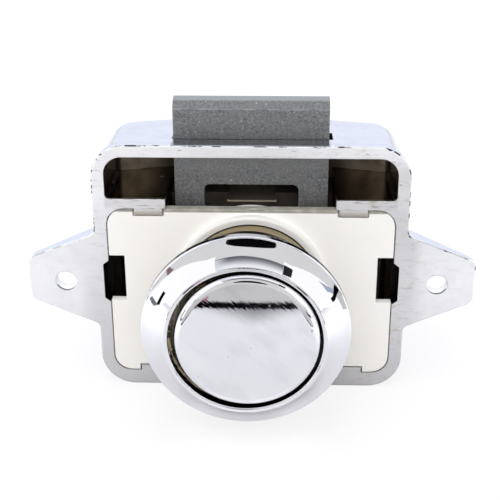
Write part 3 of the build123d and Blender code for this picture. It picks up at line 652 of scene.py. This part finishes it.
def cream_plastic():
    """Satin cream moulding, a little translucent, with painted shade warmer and darker below, at the boss
    and along its top edge.
    """
    made = Finish("cream_plastic", 0.0, 0.38)
    cream = made.ramp(made.noise(0.06, 3, 0.5), CREAM_TONES)
    warm = made.blend(made.span(made.z, -17 * MM, 9 * MM, 0.5, 0.0), cream, CREAM_LOW_SHADE)
    boss = made.both(
        made.below(made.root_sum(made.x, made.z), BOSS_RADIUS, BOSS_RADIUS + 1 * MM),
        made.below(made.y, -0.3 * MM, -0.05 * MM),
    )
    # Painted shade on the boss
    boss_shaded = made.blend(boss, warm, CREAM_BOSS_SHADE)
    # Painted shade along the top edge
    edge_band = made.both(
        made.span(made.z, PLATE_TOP - 0.6 * MM, PLATE_TOP - 0.35 * MM),
        made.span(made.noise(0.5, 3), 0.2, 0.6, 0.75, 1.0),
    )
    made.set("Base Color", made.blend(edge_band, boss_shaded, CREAM_TOP_EDGE_SHADE))
    made.set("Roughness", made.level(made.noise(0.8, 4), 0.32, 0.48))
    made.set("Subsurface Weight", 0.12)
    made.set("Subsurface Scale", 1.2 * MM)
    flow = made.noise(0.3, 3, 0.5, made.stretch((0.4, 1, 1.4)))
    relief = made.bump(flow, 0.012 * MM, made.round_edges(0.15 * MM))
    made.set("Normal", made.bump(made.noise(5.0, 3), 0.004 * MM, relief))
    return made.material


def white_acetal():
    """Satin white moulding with faint flow marks."""
    made = Finish("white_acetal", 0.0, 0.4)
    made.set("Base Color", made.ramp(made.noise(0.2, 3), WHITE_TONES))
    made.set("Roughness", made.level(made.noise(1.0, 4), 0.34, 0.5))
    flow = made.noise(0.6, 3, 0.5, made.stretch((0.4, 2, 1)))
    made.set("Normal", made.bump(flow, 0.01 * MM, made.round_edges(0.12 * MM)))
    return made.material


def brown_plastic():
    """Dark olive-brown moulding with a fine spark-eroded grain, dusty in its pit."""
    made = Finish("brown_plastic", 0.0, 0.45)
    ground = made.ramp(made.noise(0.5, 4), BROWN_TONES)
    middle = made.below(made.math("ABSOLUTE", made.x), PIT_HALF, PIT_HALF + 0.2 * MM)
    pit = made.both(
        middle,
        made.near(made.z, PIT_FLOOR, 0.3 * MM),
        made.span(made.y, PIT_FRONT, PIT_FRONT + 0.15 * MM),
    )
    dusty = made.blend(pit, ground, BROWN_DUSTY)
    lip = made.both(middle, made.near(made.z, PIT_FLOOR, 0.22 * MM), made.near(made.y, PIT_FRONT, 0.3 * MM))
    made.set("Base Color", made.blend(lip, dusty, BROWN_LIP))
    made.set("Roughness", made.level(made.noise(2.0, 3), 0.35, 0.6))
    made.set("Normal", made.bump(made.noise(4.0, 4, 0.65), 0.012 * MM, made.round_edges(0.12 * MM)))
    return made.material


# Turned and drawn metals: darker and lighter tone
# The sleeve's tan tones paint the cream moulding mirrored in shade
SLEEVE_TAN_REFLECTION_TONES = (0.30, 0.245, 0.145, 1), (0.40, 0.33, 0.205, 1)
STEEL_TONES = (0.42, 0.42, 0.44, 1), (0.62, 0.62, 0.64, 1)
NUT_TONES = (0.55, 0.39, 0.15, 1), (0.76, 0.58, 0.27, 1)
# Painted shade in the sleeve's bore
SLEEVE_BORE_SHADE = (0.02, 0.019, 0.017, 1)
SLEEVE_BORE = 11.3 * MM


def turned_metal(name, tones, ring_pitch, depth, shaded_bore=0.0):
    """Metal turned about Y: fine rings, some tarnish, and painted shade in the bore where its radius is
    given, lighter in streaks on the left.
    """
    made = Finish(name, 1.0, 0.28)
    ground = made.ramp(made.noise(0.5, 4, 0.6), [(0.32, tones[0]), (0.7, tones[1])])
    if shaded_bore:
        bore = made.below(made.root_sum(made.x, made.z), shaded_bore, shaded_bore + 0.1 * MM)
        left = made.both(
            made.span(made.x, -5 * MM, -8 * MM),
            made.span(made.noise(0.8, 4, 0.7, made.stretch((1, 0.06, 1))), 0.46, 0.54),
        )
        ground = made.blend(made.both(bore, made.math("SUBTRACT", 1.0, left)), ground, SLEEVE_BORE_SHADE)
    made.set("Base Color", ground)
    rings = made.add("ShaderNodeTexWave")
    rings.bands_direction = "Y"
    rings.inputs["Scale"].default_value = PER_MM * pi / (10 * ring_pitch)
    rings.inputs["Distortion"].default_value = 0.6
    made.link(made.place, rings.inputs["Vector"])
    made.set("Roughness", made.level(made.noise(1.5, 4), 0.2, 0.4))
    made.set("Normal", made.bump(rings.outputs["Fac"], depth, made.round_edges(0.1 * MM)))
    return made.material


MATERIALS = {
    "plated_zinc": Casting().material,
    "chrome_plate": chrome_plate(),
    "grey_zinc": grey_zinc(),
    "passivated_sleeve": turned_metal("passivated_sleeve", SLEEVE_TAN_REFLECTION_TONES, 0.25, 0.008 * MM, SLEEVE_BORE),
    "cream_plastic": cream_plastic(),
    "white_acetal": white_acetal(),
    "brown_plastic": brown_plastic(),
    "spring_steel": turned_metal("spring_steel", STEEL_TONES, 0.2, 0.004 * MM),
    "brass_nut": turned_metal("brass_nut", NUT_TONES, 0.2, 0.004 * MM),
}

for entry in frame["record"]["subparts"]:
    obj = frame["nodes"][entry["node"]]
    obj.data.materials.clear()
    obj.data.materials.append(MATERIALS[entry["material_slot"]])


# Gate stub left on the top edge of the front plate
GATE_PLACE = Vector((0.9 * MM, 0.35 * MM, PLATE_TOP - 0.03 * MM))
GATE_HALF = Vector((1.9, 0.35, 0.24)) * MM
GATE_RINGS = 5
GATE_SIDES = 28
GATE_WAVE = 0.07
GATE_RIPPLE = 0.04
GATE_PEAKS = 0.12


def gate_stub():
    """Low torn dome: rings of points that shrink to the top, a little uneven all round."""
    mesh = bmesh.new()
    rings = []
    for level in range(GATE_RINGS):
        rise = 0.5 * pi * level / GATE_RINGS
        ring = []
        for step in range(GATE_SIDES):
            turn = 2 * pi * step / GATE_SIDES
            uneven = 1 + GATE_WAVE * sin(3 * turn + 0.8) + GATE_RIPPLE * sin(7 * turn)
            across = cos(rise) * uneven
            ring.append(mesh.verts.new(GATE_PLACE + Vector((
                GATE_HALF.x * across * cos(turn),
                GATE_HALF.y * across * sin(turn),
                GATE_HALF.z * sin(rise) * (1 + GATE_PEAKS * sin(5 * turn)),
            ))))
        rings.append(ring)
    for lower, upper in zip(rings, rings[1:]):
        for step in range(GATE_SIDES):
            beside = (step + 1) % GATE_SIDES
            mesh.faces.new((lower[step], lower[beside], upper[beside], upper[step]))
    mesh.faces.new(rings[-1])
    mesh.faces.new(list(reversed(rings[0])))
    for face in mesh.faces:
        face.smooth = True
    made = bpy.data.meshes.new("gate_stub")
    mesh.to_mesh(made)
    mesh.free()
    obj = bpy.data.objects.new("gate_stub", made)
    bpy.context.scene.collection.objects.link(obj)
    obj.data.materials.append(MATERIALS["cream_plastic"])
    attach(obj, "case")


gate_stub()

# Camera, from its measured place
CAMERA_TARGET = Vector((-0.096, 0.0, 5.69)) * MM
CAMERA_DISTANCE = 168.84 * MM
CAMERA_PITCH = radians(24.99)
CAMERA_YAW = radians(-1.82)
CAMERA_ROLL = radians(-0.2)
FOCAL_PIXELS = 1090.31
PHOTO_PIXELS = 500
SENSOR = 36.0


def direction(azimuth, elevation):
    """Unit direction: azimuth in degrees from the front towards +X, elevation in degrees."""
    turn, rise = radians(azimuth), radians(elevation)
    return Vector((sin(turn) * cos(rise), -cos(turn) * cos(rise), sin(rise)))


camera_data = bpy.data.cameras.new("camera")
camera_data.sensor_width = SENSOR
camera_data.lens = SENSOR * FOCAL_PIXELS / PHOTO_PIXELS
camera_data.clip_start = 0.005
camera_data.clip_end = 20
camera = bpy.data.objects.new("camera", camera_data)
bpy.context.scene.collection.objects.link(camera)
level_out = cos(CAMERA_PITCH)
backward = Vector((-sin(CAMERA_YAW) * level_out, -cos(CAMERA_YAW) * level_out, sin(CAMERA_PITCH)))
turn = backward.to_track_quat("Z", "Y").to_matrix().to_4x4()
place = Matrix.Translation(CAMERA_TARGET + backward * CAMERA_DISTANCE)
camera.matrix_world = place @ turn @ Matrix.Rotation(CAMERA_ROLL, 4, "Z")
bpy.context.scene.camera = camera


def mesh_object(name, points, faces):
    mesh = bpy.data.meshes.new(name)
    mesh.from_pydata(points, [], faces)
    obj = bpy.data.objects.new(name, mesh)
    bpy.context.scene.collection.objects.link(obj)
    return obj


# Floor: pale, shadowed for the camera, its front edge mirrored in the knob's face
FLOOR_HALF = 1.5
FLOOR_FRONT = -68.8 * MM
FLOOR_REAR = 2.0
FLOOR_NEAR = (0.57, 0.567, 0.585, 1)
# Painted light below the ring and far off, painted shade along the front edge, as the chrome mirrors them
FLOOR_BELOW_LIGHT = (0.70, 0.695, 0.725, 1)
FLOOR_FAR_LIGHT = (0.80, 0.80, 0.81, 1)
FLOOR_EDGE_SHADE = (0.20, 0.20, 0.205, 1)
FLOOR_LIFT = 0.73
FLOOR_GLOW = 1.09
EDGE_WIDTH = 3.8 * MM
EDGE_HALF = 60 * MM
WHITE = (1, 1, 1, 1)


def floor_finish():
    """Pale matt floor, lifted towards white for the camera, with its shadows kept. Its colour paints light
    below the ring and far off, and shade along its front edge, where the chrome mirrors it.
    """
    made = Finish("floor", 0.0, 0.9)
    aside = made.math("ABSOLUTE", made.x)
    far = made.any(made.span(aside, 22 * MM, 70 * MM), made.span(made.y, 30 * MM, 80 * MM))
    under = made.both(made.span(made.y, -36 * MM, -24 * MM), made.near(made.x, 0.0, 13 * MM))
    ground = made.blend(far, made.blend(under, FLOOR_NEAR, FLOOR_BELOW_LIGHT), FLOOR_FAR_LIGHT)
    to_edge = made.math("ADD", made.y, made.math("MULTIPLY", aside, 0.6))
    # Painted shade along the front edge
    edge_shade = made.both(
        made.below(to_edge, FLOOR_FRONT, FLOOR_FRONT + 11 * MM),
        made.near(made.x, 2 * MM, 24 * MM),
    )
    made.set("Base Color", made.blend(edge_shade, ground, FLOOR_EDGE_SHADE))
    made.set("Specular IOR Level", 0.0)
    glow = made.add("ShaderNodeEmission")
    glow.inputs["Color"].default_value = WHITE
    glow.inputs["Strength"].default_value = FLOOR_GLOW
    path = made.add("ShaderNodeLightPath")
    lift = made.span(made.y, FLOOR_FRONT, FLOOR_FRONT + 24 * MM, 1.0, FLOOR_LIFT)
    mix = made.add("ShaderNodeMixShader")
    made.link(made.both(path.outputs["Is Camera Ray"], lift), mix.inputs["Fac"])
    made.link(made.shader.outputs["BSDF"], mix.inputs[1])
    made.link(glow.outputs["Emission"], mix.inputs[2])
    made.link(mix.outputs["Shader"], made.output.inputs["Surface"])
    return made.material


def level_sheet(name, low, high, finish):
    """Level rectangle at the floor's height, from one corner to the other."""
    corners = ((low[0], low[1]), (high[0], low[1]), (high[0], high[1]), (low[0], high[1]))
    made = mesh_object(name, [(x, y, -FLOOR_DROP) for x, y in corners], [(0, 1, 2, 3)])
    made.data.materials.append(finish)
    return made


level_sheet("floor", (-FLOOR_HALF, FLOOR_FRONT), (FLOOR_HALF, FLOOR_REAR), floor_finish())


def card_finish(name, colour):
    """Plain glowing card colour."""
    material = bpy.data.materials.new(name)
    material.use_nodes = True
    tree = material.node_tree
    tree.nodes.clear()
    glow = tree.nodes.new("ShaderNodeEmission")
    glow.inputs["Color"].default_value = colour
    glow.inputs["Strength"].default_value = 1.0
    output = tree.nodes.new("ShaderNodeOutputMaterial")
    tree.links.new(glow.outputs["Emission"], output.inputs["Surface"])
    return material


BLACK = card_finish("black_card", (0.002, 0.002, 0.003, 1))
GREY = card_finish("grey_card", shade(118, 118, 126))
PALE = card_finish("pale_card", shade(168, 176, 200))
PINK = card_finish("pink_card", shade(170, 132, 140))
BROWN = card_finish("brown_card", shade(128, 108, 112))


def only_mirrored(obj):
    """Seen in polished metal, not by the camera, and with no shadow."""
    obj.visible_camera = False
    obj.visible_diffuse = False
    obj.visible_shadow = False


def card(name, azimuth, elevation, distance, outline, finish):
    """Card facing the knob; its outline is (right, up) points in metres."""
    centre = Vector((0, KNOB_FRONT, 0))
    out = direction(azimuth, elevation)
    side = out.cross(Vector((0, 0, 1))).normalized()
    up = side.cross(out)
    points = [centre + out * distance + side * right + up * rise for right, rise in outline]
    made = mesh_object(name, points, [tuple(range(len(points)))])
    made.data.materials.append(finish)
    only_mirrored(made)


def ellipse(centre, half, count=48):
    turns = [2 * pi * step / count for step in range(count)]
    return [(centre[0] + half[0] * cos(turn), centre[1] + half[1] * sin(turn)) for turn in turns]


# Shapes of the room that the photograph's chrome mirrors
LENS = ellipse((-0.010, 0.012), (0.100, 0.088))
STAND_GREY = [
    (0.022, -0.040), (0.012, -0.018), (-0.060, -0.026),
    (-0.135, -0.040), (-0.140, -0.058), (-0.050, -0.046),
]
STAND_BLACK = [(0.000, -0.024), (0.053, -0.017), (0.022, 0.056), (-0.029, 0.044), (-0.018, 0.022)]
STAND_RIGHT = [(0.052, -0.014), (0.052, 0.012), (-0.120, 0.032), (-0.120, 0.006)]
FADE_RIGHT = [(-0.056, 0.137), (-0.030, 0.069), (0.010, 0.018), (-0.010, 0.004), (-0.092, 0.068)]
BOTTLE = [
    (-0.040, -0.034), (-0.046, -0.022), (-0.008, 0.018),
    (0.004, 0.012), (0.018, -0.008), (0.014, -0.018),
]
EDGE_FROM = (-EDGE_HALF, FLOOR_FRONT - EDGE_WIDTH)
EDGE_TO = (EDGE_HALF, FLOOR_FRONT)
CLOTH_FROM = (-22 * MM, FLOOR_FRONT - 20 * MM)
CLOTH_TO = (-11 * MM, FLOOR_FRONT - EDGE_WIDTH)
card("lens_card", 0, 25, 0.42, LENS, BLACK)
card("stand_grey", -69, -4, 0.40, STAND_GREY, GREY)
card("stand_black", -69, -4, 0.40, STAND_BLACK, BLACK)
card("stand_right", 48, -5, 0.40, STAND_RIGHT, BLACK)
card("fade_right", 48, -5, 0.41, FADE_RIGHT, PALE)
card("bottle_left", -44, 7, 0.40, BOTTLE, BROWN)
only_mirrored(level_sheet("table_edge", EDGE_FROM, EDGE_TO, BLACK))
only_mirrored(level_sheet("pink_cloth", CLOTH_FROM, CLOTH_TO, PINK))

# World: white for the camera; for light and mirrors a studio by direction
ROOM_SIDE = (1.09, 1.09, 1.10, 1)
ROOM_BACK = (0.84, 0.89, 1.02, 1)
ROOM_FRONT = (0.72, 0.72, 0.73, 1)
ROOM_FRONT_LOW = (0.59, 0.59, 0.60, 1)
ROOM_FLAG = (0.02, 0.02, 0.025, 1)
ROOM_TOP_DARK = (0.15, 0.15, 0.18, 1)
ROOM_TOP_LIGHT = (1.15, 1.16, 1.20, 1)
ROOM_TOP_END = (0.75, 0.77, 0.84, 1)

# Overhead box, as places on a level plane one unit above: across and back from the object
BOX_LEFT = -0.60
BOX_RIGHT = 0.75
BOX_NEAR = -0.55
BOX_FAR = 0.45
BOX_FADE = 1.55
FLAG_RIGHT = 1.06
FLAG_NEAR = -0.62
FLAG_FAR = -0.02

# Front wall, as places on an upright plane one unit ahead: across and up
WALL_LEFT = -1.06
WALL_RIGHT = 1.20
WALL_TOP = 1.22


def studio_world():
    """Front wall, brighter sides, a blue-grey back, and a box overhead that darkens to its near edge."""
    world = bpy.data.worlds.new("studio")
    made = Nodes(world)
    x, y, z = made.split(made.add("ShaderNodeTexCoord").outputs["Generated"])
    ahead = made.math("MULTIPLY", y, -1.0)
    turn = made.math("ABSOLUTE", made.math("ARCTAN2", x, ahead))
    sides = made.blend(made.span(turn, radians(100), radians(140)), ROOM_SIDE, ROOM_BACK)

    across = made.math("DIVIDE", x, ahead)
    up = made.math("DIVIDE", z, ahead)
    forward = made.span(ahead, 0.02, 0.05)
    wall = made.both(
        forward,
        made.span(across, WALL_LEFT, WALL_LEFT + 0.12),
        made.below(across, WALL_RIGHT - 0.08, WALL_RIGHT),
        made.below(up, WALL_TOP - 0.04, WALL_TOP),
    )

    over_x = made.math("DIVIDE", x, z)
    over_y = made.math("DIVIDE", y, z)
    above = made.span(z, 0.25, 0.30)
    box_width = made.both(
        made.span(over_x, BOX_LEFT - 0.03, BOX_LEFT),
        made.below(over_x, BOX_RIGHT, BOX_RIGHT + 0.02),
    )
    before_box = made.both(above, box_width, forward, made.below(over_y, BOX_NEAR - 0.01, BOX_NEAR))
    front = made.blend(made.span(z, -0.10, -0.02), ROOM_FRONT_LOW, ROOM_FRONT)
    walls = made.blend(made.any(wall, before_box), sides, front)

    box = made.both(
        above,
        box_width,
        made.span(over_y, BOX_NEAR - 0.01, BOX_NEAR),
        made.below(over_y, BOX_FAR, BOX_FAR + 0.15),
    )
    depth = made.math("DIVIDE", made.math("ADD", over_y, 0.50), 0.50, True)
    faded = made.blend(made.math("POWER", depth, BOX_FADE), ROOM_TOP_DARK, ROOM_TOP_LIGHT)
    ended = made.blend(made.span(over_x, BOX_LEFT - 0.04, BOX_LEFT + 0.30, 0.9, 0.0), faded, ROOM_TOP_END)
    lit = made.blend(box, walls, ended)

    lip = made.both(
        above,
        box_width,
        made.near(over_y, BOX_NEAR - 0.015, 0.018),
        made.below(over_x, -0.15, 0.25),
    )
    flag = made.both(
        above,
        made.span(over_x, BOX_RIGHT, BOX_RIGHT + 0.02),
        made.below(over_x, FLAG_RIGHT - 0.04, FLAG_RIGHT),
        made.span(over_y, FLAG_NEAR, FLAG_NEAR + 0.04),
        made.below(over_y, FLAG_FAR - 0.04, FLAG_FAR),
    )
    room = made.blend(flag, made.blend(lip, lit, ROOM_FLAG), ROOM_FLAG)

    path = made.add("ShaderNodeLightPath")
    background = made.add("ShaderNodeBackground")
    background.inputs["Strength"].default_value = 1.0
    made.link(made.blend(path.outputs["Is Camera Ray"], room, WHITE), background.inputs["Color"])
    output = made.add("ShaderNodeOutputWorld")
    made.link(background.outputs["Background"], output.inputs["Surface"])
    return world


bpy.context.scene.world = studio_world()


# Softbox overhead and a fill from the front
def area_light(name, azimuth, elevation, distance, size, power):
    light = bpy.data.lights.new(name, "AREA")
    light.shape = "SQUARE"
    light.size = size
    light.energy = power
    obj = bpy.data.objects.new(name, light)
    out = direction(azimuth, elevation)
    obj.matrix_world = Matrix.Translation(out * distance) @ out.to_track_quat("Z", "Y").to_matrix().to_4x4()
    obj.visible_glossy = False
    bpy.context.scene.collection.objects.link(obj)


area_light("softbox", -15, 68, 0.50, 0.35, 1.6)
area_light("front_fill", 2, 35, 0.60, 0.40, 0.84)

bpy.context.scene.view_settings.view_transform = "Standard"
